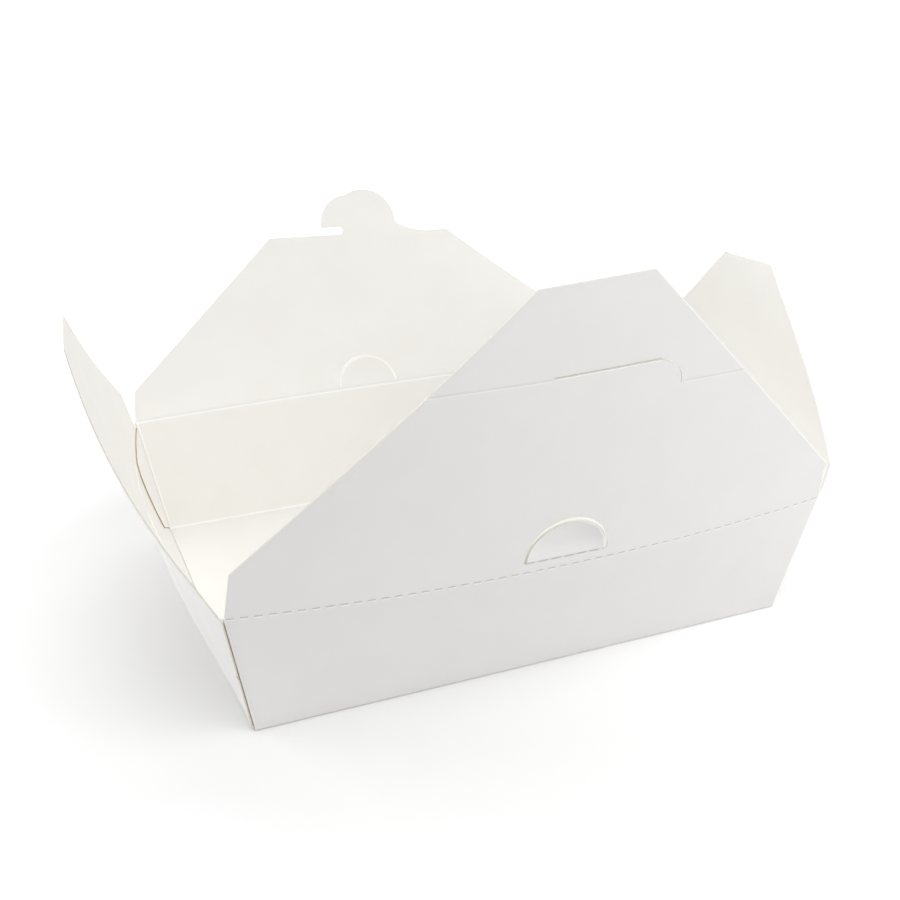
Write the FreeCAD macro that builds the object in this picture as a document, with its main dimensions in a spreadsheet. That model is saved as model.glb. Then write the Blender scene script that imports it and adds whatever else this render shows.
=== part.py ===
import FreeCAD, Part
import os
import re
import Sketcher

# Takeout food box, folded from one die-cut sheet of coated paperboard and shown
# open: a flaring tray with four lid flaps. Origin in the middle of the underside
# of the base, X along the long side, +Z up, the front at -Y. Millimetres, degrees.

os.makedirs("parts", exist_ok=True)
doc = FreeCAD.newDocument("food_box")

SIZES = [
    # the tray, measured on its inside faces
    ("board", 0.5, "thickness of the paperboard"),
    ("base_long", 199, "base, long side"),
    ("base_wide", 145, "base, short side"),
    ("mouth_long", 216, "mouth, long side"),
    ("mouth_wide", 159, "mouth, short side"),
    ("rise", 48, "height of the mouth above the table"),
    ("stack_step", 0.8, "end creases sit this much lower, so the long flaps lie on top"),
    # corner glue tabs, turned in from the long walls
    ("tab_foot", 1.5, "start of a glue tab above the base crease"),
    ("tab_headroom", 3, "a glue tab ends this far below the mouth"),
    ("tab_widest_ratio", 0.6, "where a glue tab is widest, as a share of the wall"),
    ("tab_foot_width", 2, "width at the foot"),
    ("tab_mid_width", 13, "width at the widest place"),
    ("tab_head_width", 6, "width at the top"),
    ("tab_bond", 0.3, "how far a glue tab runs into the corner fold"),
    # clearances round the creases
    ("crease_gap", 1.1, "folded strip between the crease line and a flap's panel"),
    ("side_gap", 0.7, "each end of a flap stops short of the corner"),
    # flaps, measured from the crease line
    ("lug_draft", 1.8, "a lug's side leans in by this much over its height"),
    ("lug_round", 1.5, "radius where lug and slanted edge meet"),
    ("front_lug", 16.8, "height of the front flap's square lugs"),
    ("front_tip", 28.7, "board of the front flap beyond its slit"),
    ("front_top", 38, "width of its top edge"),
    ("back_lug", 12.5, "height of the back flap's lugs"),
    ("back_reach", 67, "height of the back flap without its hook"),
    ("back_top", 79, "width of its top edge"),
    ("right_lug", 12.5, "height of the right flap's lugs"),
    ("right_reach", 69, "height of the right flap"),
    ("right_top", 28, "width of its top edge"),
    ("left_lug", 15.5, "height of the left flap's lugs"),
    ("left_reach", 74.5, "height of the left flap"),
    ("left_top", 30, "width of its top edge"),
    ("tip_round", 1.2, "radius of the flaps' top corners"),
    # how far each flap leans out of the vertical as it rests open
    ("front_tilt", 12.4, "front flap"),
    ("back_tilt", 28.5, "back flap"),
    ("right_tilt", 15, "right end flap"),
    ("left_tilt", 22, "left end flap"),
    # half-moon vent tabs in both long flaps
    ("front_moon_shift", 2.5, "front half-moon's centre, to its flap's own right"),
    ("front_moon_chord", 4.7, "its hinge line above the crease line"),
    ("back_moon_shift", 6, "back half-moon's centre, to its flap's own right"),
    ("back_moon_chord", 2.4, "its hinge line above the crease line"),
    ("moon_radius", 15, "radius of the half-moon cuts"),
    ("moon_kerf", 0.35, "width of the curved cut"),
    ("moon_tilt", 9, "how far the half-moon stands out of the flap"),
    # hook of the back flap and the slit of the front flap that takes it
    ("hook_rise", 19.2, "top of the hook above the back flap's top edge"),
    ("hook_width", 33, "width of the hook over its barb"),
    ("hook_barb", 9, "length of the barb beyond the neck"),
    ("hook_slot", 3.4, "height of the slot under the barb"),
    ("hook_round", 10, "radius of the hook's shoulders"),
    ("hook_foot_round", 7, "radius where the hook runs into the top edge"),
    ("hook_shift", 1.2, "middle of the hook from the middle of the flap"),
    ("slit_play", 3.8, "the slit starts this far beside the hook's neck"),
    ("slit_run", 35, "straight length of the slit"),
    ("slit_turn", 9.5, "radius of its turned-down end"),
    ("slit_width", 0.9, "opened width of the slit"),
    ("score_width", 0.9, "width of the scored lines beside the slit"),
    ("score_depth", 0.12, "depth of the scored lines"),
]

sheet = doc.addObject("Spreadsheet::Sheet", "sizes")
for row, (alias, value, note) in enumerate(SIZES, start=1):
    sheet.set("A%d" % row, alias)
    sheet.set("B%d" % row, str(value))
    sheet.set("C%d" % row, note)
    sheet.setAlias("B%d" % row, alias)
doc.recompute()

# angles of the walls and the board's thickness measured level across them
DERIVED = [
    ("wide_tilt", "=atan((mouth_wide - base_wide) / 2 / rise) / 1 deg", "lean of the long walls"),
    ("long_tilt", "=atan((mouth_long - base_long) / 2 / rise) / 1 deg", "lean of the end walls"),
    ("wide_skin", "=board / cos(wide_tilt)", "long wall's thickness on the level"),
    ("long_skin", "=board / cos(long_tilt)", "end wall's thickness on the level"),
    ("end_slope", "=rise / cos(long_tilt)", "height of the end wall along its slope"),
    ("hook_reach", "=back_reach + hook_rise", "top of the hook above the back crease"),
    ("slit_reach", "=mouth_wide - hook_reach", "slit above the front crease, at the hook's tip"),
    ("front_reach", "=slit_reach + front_tip", "height of the front flap"),
    ("slit_start", "=hook_shift - hook_width / 2 + hook_barb - slit_play", "left end of the slit"),
]
for row, (alias, formula, note) in enumerate(DERIVED, start=len(SIZES) + 1):
    sheet.set("A%d" % row, alias)
    sheet.set("B%d" % row, formula)
    sheet.set("C%d" % row, note)
    sheet.setAlias("B%d" % row, alias)
doc.recompute()


def bound(text):
    """Turns a formula in size names into one that reads them from the sheet."""
    names = [row[0] for row in SIZES + DERIVED]
    return re.sub(
        "[a-z_]+", lambda word: "sizes." * (word.group() in names) + word.group(), text)


def number(text):
    """The present value of such a formula, for drawing a sketch near its final form."""
    sheet_value = sheet.evalExpression(bound(text))
    return float(getattr(sheet_value, "Value", sheet_value))


def pin(sketch, geometry, end, across, up):
    """Dimensions one point of a sketch from the sketch's origin, both ways."""
    for kind, text in (("DistanceX", across), ("DistanceY", up)):
        index = sketch.addConstraint(
            Sketcher.Constraint(kind, -1, 1, geometry, end, number(text)))
        sketch.setExpression("Constraints[%d]" % index, bound(text))


def new_sketch(body, name, level="0"):
    """An empty sketch on the body's XY plane, raised to a level."""
    sketch = body.newObject("Sketcher::SketchObject", name)
    plane = [f for f in body.Origin.OriginFeatures if f.Role == "XY_Plane"][0]
    sketch.AttachmentSupport = [(plane, "")]
    sketch.MapMode = "FlatFace"
    if level != "0":
        sketch.setExpression("AttachmentOffset.Base.z", bound(level))
    return sketch


def draw_polygon(sketch, corners):
    """Closed outline of straight lines through corners given as two formulas each."""
    points = [FreeCAD.Vector(number(a), number(b), 0) for a, b in corners]
    lines = []
    for here, there in zip(points, points[1:] + points[:1]):
        lines.append(sketch.addGeometry(Part.LineSegment(here, there)))
    for place, line in enumerate(lines):
        following = lines[(place + 1) % len(lines)]
        sketch.addConstraint(Sketcher.Constraint("Coincident", line, 2, following, 1))
        pin(sketch, line, 1, corners[place][0], corners[place][1])


def draw_half_moon(sketch, radius, shift, chord):
    """Half disc standing on its chord."""
    size = number(radius)
    middle = FreeCAD.Vector(number(shift), number(chord), 0)
    circle = Part.Circle(middle, FreeCAD.Vector(0, 0, 1), size)
    arc = sketch.addGeometry(Part.ArcOfCircle(circle, 0, 3.14159265))
    left = middle - FreeCAD.Vector(size, 0, 0)
    right = middle + FreeCAD.Vector(size, 0, 0)
    line = sketch.addGeometry(Part.LineSegment(left, right))
    sketch.addConstraint(Sketcher.Constraint("Coincident", arc, 2, line, 1))
    sketch.addConstraint(Sketcher.Constraint("Coincident", line, 2, arc, 1))
    sketch.addConstraint(Sketcher.Constraint("Horizontal", line))
    sketch.addConstraint(Sketcher.Constraint("PointOnObject", arc, 3, line))
    pin(sketch, arc, 3, shift, chord)
    index = sketch.addConstraint(Sketcher.Constraint("Radius", arc, size))
    sketch.setExpression("Constraints[%d]" % index, bound(radius))


def draw_slit(sketch):
    """Narrow slit: a straight run with its right end turned down a quarter circle."""
    turn_across = "(slit_start + slit_run)"
    turn_up = "(slit_reach - slit_turn)"
    middle = FreeCAD.Vector(number(turn_across), number(turn_up), 0)
    radii = ("slit_turn + slit_width / 2", "slit_turn - slit_width / 2")
    arcs = []
    for radius in radii:
        circle = Part.Circle(middle, FreeCAD.Vector(0, 0, 1), number(radius))
        arcs.append(sketch.addGeometry(Part.ArcOfCircle(circle, 0, 1.57079633)))
        pin(sketch, arcs[-1], 3, turn_across, turn_up)
        index = sketch.addConstraint(
            Sketcher.Constraint("Radius", arcs[-1], number(radius)))
        sketch.setExpression("Constraints[%d]" % index, bound(radius))
    start = number("slit_start")
    high = number("slit_reach + slit_width / 2")
    low = number("slit_reach - slit_width / 2")
    spans = [
        ((start, high), (middle.x, high)),
        ((start, low), (middle.x, low)),
        ((start, low), (start, high)),
        ((middle.x + number(radii[0]), middle.y), (middle.x + number(radii[1]), middle.y)),
    ]
    lines = []
    for here, there in spans:
        segment = Part.LineSegment(FreeCAD.Vector(*here, 0), FreeCAD.Vector(*there, 0))
        lines.append(sketch.addGeometry(segment))
    upper, lower, left, foot = lines
    joins = [
        (upper, 2, arcs[0], 2),
        (lower, 2, arcs[1], 2),
        (upper, 1, left, 2),
        (lower, 1, left, 1),
        (foot, 1, arcs[0], 1),
        (foot, 2, arcs[1], 1),
    ]
    for first, end, second, other in joins:
        sketch.addConstraint(Sketcher.Constraint("Coincident", first, end, second, other))
    sketch.addConstraint(Sketcher.Constraint("Horizontal", upper))
    sketch.addConstraint(Sketcher.Constraint("Horizontal", lower))
    sketch.addConstraint(Sketcher.Constraint("Vertical", left))
    sketch.addConstraint(Sketcher.Constraint("Horizontal", foot))
    # the arcs' own ends stand square above and beside their centre
    sketch.addConstraint(Sketcher.Constraint("Vertical", arcs[0], 3, arcs[0], 2))
    sketch.addConstraint(Sketcher.Constraint("Vertical", arcs[1], 3, arcs[1], 2))
    sketch.addConstraint(Sketcher.Constraint("Horizontal", arcs[0], 3, arcs[0], 1))
    index = sketch.addConstraint(Sketcher.Constraint("DistanceX", -1, 1, left, 1, start))
    sketch.setExpression("Constraints[%d]" % index, bound("slit_start"))


def pad(body, sketch, name, length):
    """Raises a sketch into board."""
    feature = body.newObject("PartDesign::Pad", name)
    feature.Profile = sketch
    feature.setExpression("Length", bound(length))
    sketch.Visibility = False
    return feature


def pocket(body, sketch, name, depth):
    """Cuts a sketch that lies on the inner face upwards, to a depth."""
    feature = body.newObject("PartDesign::Pocket", name)
    feature.Profile = sketch
    feature.Type = "Length"
    feature.Reversed = True
    feature.setExpression("Length", bound(depth))
    sketch.Visibility = False
    return feature


def edges_at(shape, spots):
    """Names of the edges square to the sheet that stand at given flat points."""
    names = []
    for number_of_edge, edge in enumerate(shape.Edges, start=1):
        box = edge.BoundBox
        if box.XLength > 0.01 or box.YLength > 0.01:
            continue
        for across, up in spots:
            if abs(box.XMin - across) < 0.05 and abs(box.YMin - up) < 0.05:
                names.append("Edge%d" % number_of_edge)
    return names


def round_corners(body, feature, name, corners, radius):
    """Rounds the corners of a panel in its own plane."""
    doc.recompute()
    spots = [(number(a), number(b)) for a, b in corners]
    rounding = body.newObject("PartDesign::Fillet", name)
    rounding.Base = (feature, edges_at(feature.Shape, spots))
    rounding.setExpression("Radius", bound(radius))
    return rounding


def fold_up(feature, turn, across, along, level, lean):
    """Stands a flat panel up on its crease: turned to its side, then leaned out."""
    formula = "placement(vector(%s; %s; %s); rotation(%s; 0; 90 + %s))" % (
        across, along, level, turn, lean)
    feature.setExpression("Placement", bound(formula))


def flap_sheet(name, half, lug, reach, top):
    """One lid flap as cut: square lugs at the crease, then slanted edges to the top."""
    body = doc.addObject("PartDesign::Body", name)
    foot = "(%s - side_gap)" % half
    shoulder = "(%s - side_gap - lug_draft)" % half
    tip = "%s / 2" % top
    corners = [
        ("- " + foot, "crease_gap"),
        (foot, "crease_gap"),
        (shoulder, lug),
        (tip, reach),
        ("- " + tip, reach),
        ("- " + shoulder, lug),
    ]
    sketch = new_sketch(body, name + "_outline")
    draw_polygon(sketch, corners)
    panel = pad(body, sketch, name + "_panel", "board")
    lugs = round_corners(body, panel, name + "_lugs", [corners[2], corners[5]], "lug_round")
    round_corners(body, lugs, name + "_tips", [corners[3], corners[4]], "tip_round")
    return body


def half_moon(body, name, shift, chord, outward):
    """Opens the half-moon cut in a flap and makes its tab, tilted on the chord.

    A tab that stands outward turns on the inner face's chord, one that stands
    inward on the outer face's, so its foot always stays in the flap's board.
    """
    cut = new_sketch(body, name + "_cut")
    draw_half_moon(cut, "moon_radius", shift, chord)
    pocket(body, cut, name + "_hole", "board")
    tab = doc.addObject("PartDesign::Body", name + "_tab")
    outline = new_sketch(tab, name + "_tab_outline")
    draw_half_moon(outline, "moon_radius - moon_kerf", shift, "0 * board")
    panel = pad(tab, outline, name + "_tab_panel", "board")
    panel.Reversed = not outward
    level, tilt = ("0", "moon_tilt") if outward else ("board", "- moon_tilt")
    formula = "placement(vector(0; %s; %s); rotation(0; 0; %s))" % (chord, level, tilt)
    tab.setExpression("Placement", bound(formula))
    return tab


def joined(label, pieces):
    """Joins pieces of board that are one folded sheet."""
    whole = doc.addObject("Part::MultiFuse", label)
    whole.Shapes = pieces
    whole.Refine = True
    return whole


# Tray: the flaring outside, the same form inside it one board further in.
tray_body = doc.addObject("PartDesign::Body", "tray_walls")


def rectangle_at(name, half_long, half_wide, level):
    """Level rectangle round the middle of the box."""
    sketch = new_sketch(tray_body, name, level)
    draw_polygon(sketch, [
        ("- " + half_long, "- " + half_wide),
        (half_long, "- " + half_wide),
        (half_long, half_wide),
        ("- " + half_long, half_wide),
    ])
    return sketch


outside_foot = rectangle_at(
    "outside_foot", "(base_long / 2 + long_skin)", "(base_wide / 2 + wide_skin)", "0")
outside_mouth = rectangle_at(
    "outside_mouth", "(mouth_long / 2 + long_skin)", "(mouth_wide / 2 + wide_skin)", "rise")
outside = tray_body.newObject("PartDesign::AdditiveLoft", "outside")
outside.Profile = outside_foot
outside.Sections = [outside_mouth]
inside_floor = rectangle_at(
    "inside_floor",
    "(base_long / 2 + board * tan(long_tilt))",
    "(base_wide / 2 + board * tan(wide_tilt))",
    "board")
inside_mouth = rectangle_at(
    "inside_mouth",
    "(mouth_long / 2 + board * tan(long_tilt))",
    "(mouth_wide / 2 + board * tan(wide_tilt))",
    "rise + board")
inside = tray_body.newObject("PartDesign::SubtractiveLoft", "inside")
inside.Profile = inside_floor
inside.Sections = [inside_mouth]

# The end walls are cut a little lower, where their flaps fold first.
for side, sign in (("right", ""), ("left", "- ")):
    notch = new_sketch(tray_body, side + "_notch_outline", "rise - stack_step")
    draw_polygon(notch, [
        (sign + "(mouth_long / 2 - 2 * board)", "- mouth_wide / 2"),
        (sign + "(mouth_long / 2 + 4 * board)", "- mouth_wide / 2"),
        (sign + "(mouth_long / 2 + 4 * board)", "mouth_wide / 2"),
        (sign + "(mouth_long / 2 - 2 * board)", "mouth_wide / 2"),
    ])
    pocket(tray_body, notch, side + "_notch", "2 * stack_step")

# Glue tabs: the long walls' ends, turned in and glued flat inside the end walls.
tray_pieces = [tray_body]
for side, turn, away in (("right", "90", ""), ("left", "270", "- ")):
    for end, sign in (("near", "- "), ("far", "")):
        tab_body = doc.addObject("PartDesign::Body", "%s_%s_glue_tab" % (side, end))
        tab_sketch = new_sketch(tab_body, "%s_%s_tab_outline" % (side, end))
        edge = "(base_wide / 2 + (mouth_wide - base_wide) / 2 * %s)"
        foot_share = "tab_foot / end_slope"
        head_share = "(end_slope - tab_headroom) / end_slope"
        foot_edge = edge % foot_share
        head_edge = edge % head_share
        widest_edge = edge % "tab_widest_ratio"
        draw_polygon(tab_sketch, [
            (sign + "(%s + tab_bond)" % foot_edge, "tab_foot"),
            (sign + "(%s + tab_bond)" % head_edge, "(end_slope - tab_headroom)"),
            (sign + "(%s - tab_head_width)" % head_edge, "(end_slope - tab_headroom)"),
            (sign + "(%s - tab_mid_width)" % widest_edge, "(end_slope * tab_widest_ratio)"),
            (sign + "(%s - tab_foot_width)" % foot_edge, "tab_foot"),
        ])
        panel = pad(tab_body, tab_sketch, "%s_%s_tab_panel" % (side, end), "board")
        panel.Reversed = True
        fold_up(tab_body, turn, away + "base_long / 2", "0", "0", "long_tilt")
        tray_pieces.append(tab_body)
tray = joined("tray", tray_pieces)

# Front flap: the tall one, with the slit between two scored lines.
front_sheet = flap_sheet("front_sheet", "mouth_long / 2", "front_lug", "front_reach", "front_top")
front_moon = half_moon(
    front_sheet, "front_moon", "front_moon_shift", "front_moon_chord", True)
slit = new_sketch(front_sheet, "slit_outline")
draw_slit(slit)
pocket(front_sheet, slit, "slit", "board")
scores = [
    ("left_score", "- mouth_long / 2", "slit_start - score_width", "slit_reach"),
    ("right_score", "slit_start + slit_run + slit_turn + score_width", "mouth_long / 2",
     "slit_reach - slit_turn"),
]
for name, first, last, level in scores:
    score = new_sketch(front_sheet, name + "_outline")
    draw_polygon(score, [
        (first, "(%s) - score_width / 2" % level),
        (last, "(%s) - score_width / 2" % level),
        (last, "(%s) + score_width / 2" % level),
        (first, "(%s) + score_width / 2" % level),
    ])
    pocket(front_sheet, score, name, "score_depth")
front_flap = joined("front_flap", [front_sheet, front_moon])
fold_up(front_flap, "0", "0", "- mouth_wide / 2", "rise", "front_tilt")

# Back flap: the hook stands on its top edge, with a slot under the barb. The flap
# faces the other way, so what lies to the right on it is to the left of the box.
back_sheet = flap_sheet("back_sheet", "mouth_long / 2", "back_lug", "back_reach", "back_top")
hook = new_sketch(back_sheet, "hook_outline")
barb_side = "(hook_width / 2 - hook_shift)"
plain_side = "(- hook_width / 2 - hook_shift)"
neck_side = "(hook_width / 2 - hook_shift - hook_barb)"
draw_polygon(hook, [
    (plain_side, "(back_reach - board)"),
    (neck_side, "(back_reach - board)"),
    (neck_side, "(back_reach + hook_slot)"),
    (barb_side, "(back_reach + hook_slot)"),
    (barb_side, "hook_reach"),
    (plain_side, "hook_reach"),
])
hook_panel = pad(back_sheet, hook, "hook_panel", "board")
hook_crown = round_corners(
    back_sheet, hook_panel, "hook_crown",
    [(barb_side, "hook_reach"), (plain_side, "hook_reach")], "hook_round")
hook_slot_end = round_corners(
    back_sheet, hook_crown, "hook_slot_end",
    [(neck_side, "back_reach"), (neck_side, "(back_reach + hook_slot)")], "hook_slot * 0.45")
round_corners(
    back_sheet, hook_slot_end, "hook_foot", [(plain_side, "back_reach")], "hook_foot_round")
back_moon = half_moon(
    back_sheet, "back_moon", "back_moon_shift", "back_moon_chord", False)
back_flap = joined("back_flap", [back_sheet, back_moon])
fold_up(back_flap, "180", "0", "mouth_wide / 2", "rise", "back_tilt")

# End flaps: plain, folded down before the long ones.
right_flap = flap_sheet(
    "right_flap", "mouth_wide / 2", "right_lug", "right_reach", "right_top")
fold_up(right_flap, "90", "mouth_long / 2", "0", "(rise - stack_step)", "right_tilt")
left_flap = flap_sheet(
    "left_flap", "mouth_wide / 2", "left_lug", "left_reach", "left_top")
fold_up(left_flap, "270", "- mouth_long / 2", "0", "(rise - stack_step)", "left_tilt")

doc.recompute()
NODES = [tray, front_flap, back_flap, right_flap, left_flap]
for item in doc.Objects:
    for state in item.State:
        if state in ("Invalid", "Error"):
            raise RuntimeError("%s did not rebuild: %s" % (item.Name, state))
for node in NODES:
    shape = node.Shape
    if shape.isNull() or not shape.isValid() or len(shape.Solids) != 1:
        raise RuntimeError("%s is not one valid solid" % node.Label)
for node in NODES:
    node.Shape.exportStep("parts/%s.step" % node.Label)
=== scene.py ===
"""Takeout food box: one die-cut sheet of coated paperboard, folded, glued and open.

Every panel is made as the real one is: its outline is cut flat, marked, scored and
perforated, then stood up on its crease and bowed as the stiff board bows when the
lid flaps stand open. Millimetres are turned to metres where a mesh is made.
"""

import logging
import math
from dataclasses import dataclass, field, replace
from enum import Enum
from functools import cache
from typing import Callable

import bmesh
import bpy
from bmesh.types import BMEdge, BMesh
from bpy.types import Material, Node, NodeSocket, NodeTree, Object
from mathutils import Matrix, Vector

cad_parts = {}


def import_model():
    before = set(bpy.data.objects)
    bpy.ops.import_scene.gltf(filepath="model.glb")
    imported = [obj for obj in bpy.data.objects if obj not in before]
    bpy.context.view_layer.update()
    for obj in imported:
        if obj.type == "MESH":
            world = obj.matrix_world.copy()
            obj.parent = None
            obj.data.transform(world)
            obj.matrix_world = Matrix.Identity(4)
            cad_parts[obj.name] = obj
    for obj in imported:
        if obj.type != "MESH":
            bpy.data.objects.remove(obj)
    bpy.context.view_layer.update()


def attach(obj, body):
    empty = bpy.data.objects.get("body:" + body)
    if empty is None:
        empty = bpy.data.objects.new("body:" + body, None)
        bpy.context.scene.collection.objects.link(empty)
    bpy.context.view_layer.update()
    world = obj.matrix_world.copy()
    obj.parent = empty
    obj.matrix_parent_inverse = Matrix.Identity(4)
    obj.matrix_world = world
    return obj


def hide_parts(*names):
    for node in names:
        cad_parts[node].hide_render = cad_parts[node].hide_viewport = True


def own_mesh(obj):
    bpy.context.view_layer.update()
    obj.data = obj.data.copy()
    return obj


MM = 0.001
BOARD = 0.5  # mm, thickness of the folding board
BOARD_IOR = 1.5  # clay coat and cellulose
FOLD = 0.7  # mm, half the board taken by a rounded fold
CELL = 5.0  # mm, cells small enough for a panel to bow smoothly
PERFORATION = 4.3  # mm, from cut to cut along the front crease
EASE = 0.07  # mm, worn off the cut edges
SHARP = 50.0  # degrees, turns that count as an edge
TOUCH = 1e-6  # m, points closer than this are one

Pair = tuple[float, float]
Triple = tuple[float, float, float]

log = logging.getLogger("food_box")


# Colours and nodes


def linear(hex_colour: str) -> tuple[float, float, float, float]:
    """Turns an sRGB hex colour into the linear values a shader takes.

    Args:
        hex_colour: Six hex digits after a hash.

    Returns:
        Linear red, green, blue and an alpha of one.
    """
    parts = [int(hex_colour[place:place + 2], 16) / 255 for place in (1, 3, 5)]
    made = [p / 12.92 if p <= 0.04045 else ((p + 0.055) / 1.055) ** 2.4 for p in parts]
    return (made[0], made[1], made[2], 1.0)


def add_node(
    tree: NodeTree, kind: str, inputs: dict | None = None, **settings: object
) -> Node:
    """Adds one node, with its settings and what goes into its sockets.

    Args:
        tree: The material's node tree.
        kind: The node's type name, after ShaderNode.
        inputs: For each socket, by name or number, a value, a socket to link, or a
            node, whose first output is linked.
        settings: Its own properties by name.

    Returns:
        The new node.
    """
    node = tree.nodes.new("ShaderNode" + kind)
    for name, value in settings.items():
        setattr(node, name, value)
    for place, value in (inputs or {}).items():
        source = value.outputs[0] if isinstance(value, Node) else value
        if isinstance(source, NodeSocket):
            tree.links.new(source, node.inputs[place])
        else:
            node.inputs[place].default_value = source
    return node


def blank_material(name: str) -> Material:
    """Makes a material with nothing in its node tree.

    Args:
        name: The material's name.

    Returns:
        The new material.
    """
    material = bpy.data.materials.new(name)
    material.use_nodes = True
    material.node_tree.nodes.clear()
    return material


def board_surface(
    tree: NodeTree, colour: NodeSocket, height: Node, roughness: float | Node, specular: float
) -> None:
    """Ends a board's material with its relief and its shader.

    Args:
        tree: The material's node tree.
        colour: Socket with the colour.
        height: Node with the relief's height, in metres.
        roughness: The roughness, or the node that gives it.
        specular: How strongly the board mirrors.
    """
    bump = add_node(tree, "Bump", {"Strength": 1.0, "Distance": 1.0, "Height": height})
    shader = add_node(
        tree, "BsdfPrincipled",
        {"Base Color": colour, "Roughness": roughness, "IOR": BOARD_IOR,
         "Specular IOR Level": specular, "Normal": bump})
    add_node(tree, "OutputMaterial", {0: shader})


# Marks pressed or cut into the board


class MarkKind(Enum):
    """What the die or a fold did to the board, and the highlight and shade painted along it: its tint,
    how strong it is, its lift in mm.
    """

    SCORE_WITH_SHADE = ("#a8926f", 0.12, 0.1)  # pressed line, a low ridge, with a faint tan tint of painted shade along it
    CUT = ("#7d6040", 0.8, -0.15)  # painted shade, brown, in the open joint where a turned-in end lies behind board
    TICK_AND_SHADE = ("#94826a", 0.5, -0.1)  # knife's tick, nearly closed; also painted shade on the shaded half of a round cut's rim
    PAINTED_HIGHLIGHT = ("#ffffff", 0.9, 0.0)  # painted highlight: white where a lip beside a cut, the round of a fold or a cut edge catches the light


def band(tree: NodeTree, off: NodeSocket, half_width: float) -> Node:
    """Strength of a soft-edged line, 1 along its middle and 0 from its edge on.

    Args:
        tree: The material's node tree.
        off: Socket with the distance off the line's middle, in metres.
        half_width: Half the line's width, mm.

    Returns:
        Node with the strength.
    """
    distance = add_node(tree, "Math", {0: off}, operation="ABSOLUTE")
    return add_node(
        tree, "MapRange",
        {0: distance, 1: 0.0, 2: half_width * MM, 3: 1.0, 4: 0.0}, interpolation_type="SMOOTHSTEP")


@dataclass(frozen=True)
class Mark:
    """A straight line on a panel: a score, a cut, or a painted highlight or painted shade along a cut,
    fold or joint.

    Points are millimetres on the flat panel: across from the middle, up from the
    crease. A dashed line has a pitch, and its dashes have the length of a cut.
    """

    kind: MarkKind
    start: Pair
    end: Pair
    half_width: float
    pitch: float = 0.0
    cut: float = 2.5

    def mask(self, tree: NodeTree, flat: NodeSocket) -> Node:
        """How strongly the line shows at a place, from 0 to 1.

        Args:
            tree: The material's node tree.
            flat: Socket with the place on the flat panel, in metres.

        Returns:
            Node with the strength.
        """
        start = Vector((*self.start, 0)) * MM
        run = Vector((*self.end, 0)) * MM - start
        way = run.normalized()
        side = Vector((-way.y, way.x, 0))
        from_start = add_node(tree, "VectorMath", {0: flat, 1: start}, operation="SUBTRACT")
        along, off = (
            add_node(
                tree, "VectorMath",
                {0: from_start, 1: to}, operation="DOT_PRODUCT").outputs["Value"]
            for to in (way, side))
        half = run.length / 2
        inside = add_node(tree, "Math", {0: along, 1: half, 2: half}, operation="COMPARE")
        shown = add_node(
            tree, "Math", {0: band(tree, off, self.half_width), 1: inside}, operation="MULTIPLY")
        if self.pitch:
            step = add_node(tree, "Math", {0: along, 1: self.pitch * MM, 2: 0.0}, operation="WRAP")
            dash = add_node(tree, "Math", {0: step, 1: self.cut * MM}, operation="LESS_THAN")
            shown = add_node(tree, "Math", {0: shown, 1: dash}, operation="MULTIPLY")
        return shown


@dataclass(frozen=True)
class RoundMark:
    """A band along a round cut that paints its rim's highlight, or its shade, on one half or on both.
    """

    kind: MarkKind
    middle: Pair  # mm, middle of the circle on the flat panel
    radius: float
    half_width: float  # mm, half the band's width
    side: int = 0  # 1 for the right half only, -1 for the left, 0 for both: the lit half takes a painted highlight, the shaded half painted shade
    # mm, where a half starts and is full, past the middle on its side
    fade: Pair = (-6.0, 4.0)

    def mask(self, tree: NodeTree, flat: NodeSocket) -> Node:
        """How strongly the band shows at a place, from 0 to 1.

        Args:
            tree: The material's node tree.
            flat: Socket with the place on the flat panel, in metres.

        Returns:
            Node with the strength.
        """
        from_middle = add_node(
            tree, "VectorMath", {0: flat, 1: Vector((*self.middle, 0)) * MM}, operation="SUBTRACT")
        far = add_node(tree, "VectorMath", {0: from_middle}, operation="LENGTH")
        off = add_node(
            tree, "Math", {0: far.outputs["Value"], 1: self.radius * MM}, operation="SUBTRACT")
        place = add_node(tree, "SeparateXYZ", {0: from_middle})
        above = add_node(tree, "Math", {0: place.outputs["Y"], 1: 0.0}, operation="GREATER_THAN")
        shown = add_node(
            tree, "Math",
            {0: band(tree, off.outputs[0], self.half_width), 1: above}, operation="MULTIPLY")
        if self.side:
            begin, full = (self.side * stop * MM for stop in self.fade)
            share = add_node(
                tree, "MapRange", {0: place.outputs["X"], 1: begin, 2: full, 3: 0.0, 4: 1.0})
            shown = add_node(tree, "Math", {0: shown, 1: share}, operation="MULTIPLY")
        return shown


# Finishes


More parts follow.
